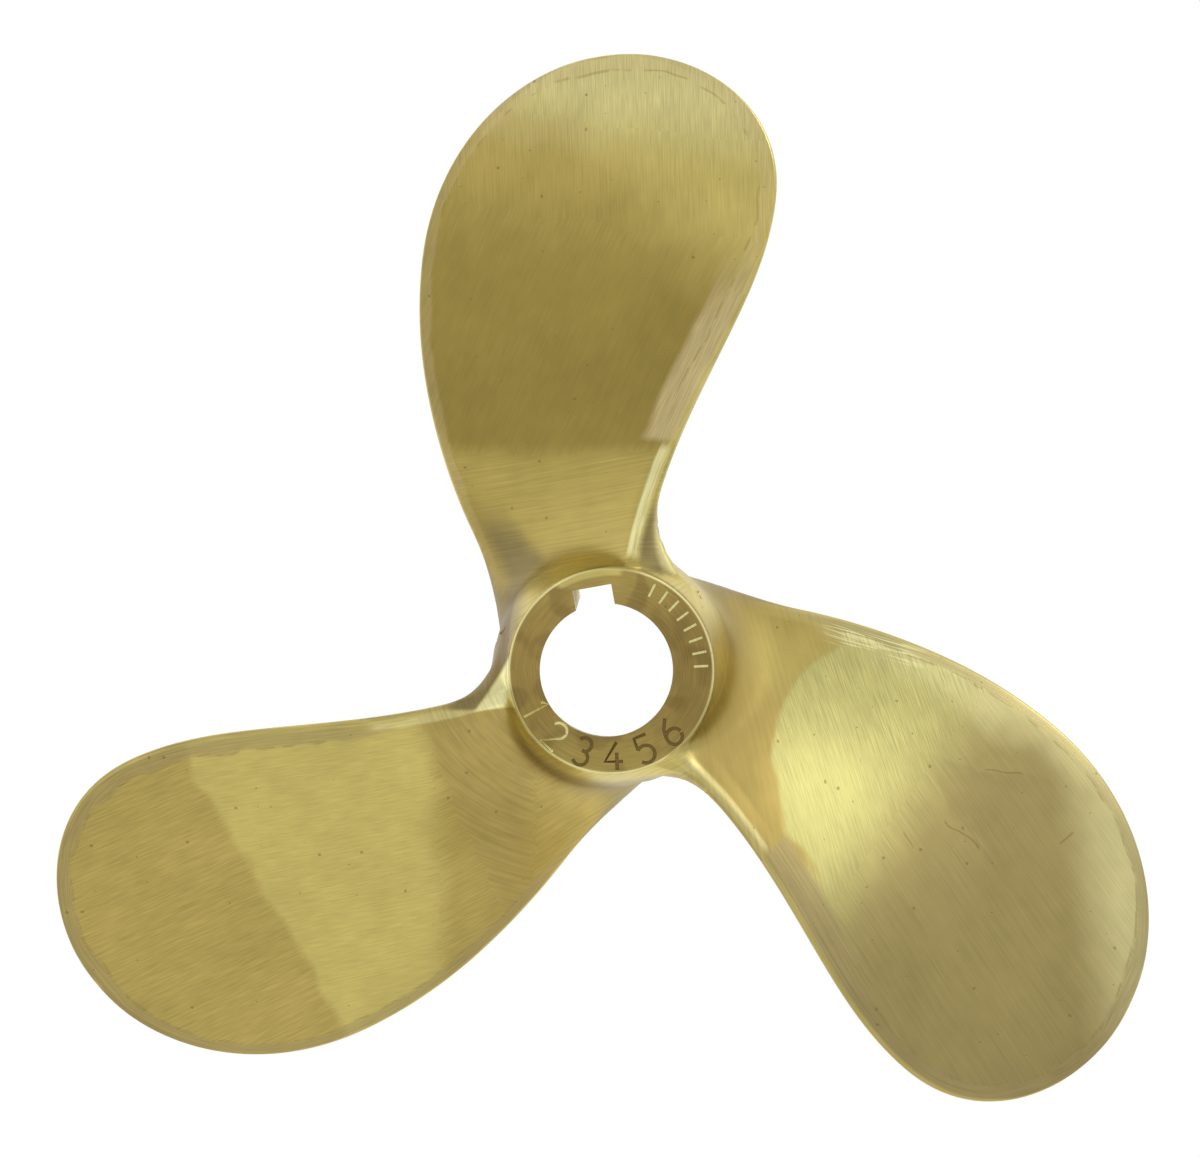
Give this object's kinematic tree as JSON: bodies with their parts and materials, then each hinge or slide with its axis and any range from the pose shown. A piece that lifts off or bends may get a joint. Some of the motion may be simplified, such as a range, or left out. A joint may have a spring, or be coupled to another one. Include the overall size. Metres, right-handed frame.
{
  "type": "ship propeller",
  "caption": "Small left-handed boat propeller cast whole in brass, with broad round-tipped blades on a short hub, a tapered through bore and a keyway.",
  "frame": {"origin": "centre of mass of the casting, within about one millimetre of the bore's axis", "axes": "+Z along the bore, aft, towards the small end of the hub; +Y near the middle of the first blade; +X to the right of it, seen from aft"},
  "size_m": [0.1804, 0.1714, 0.0512],
  "materials": {
    "brass": "satin, hand-ground blades and a turned hub"
  },
  "bodies": {
    "root": {"propeller": "brass"}
  },
  "joints": []
}
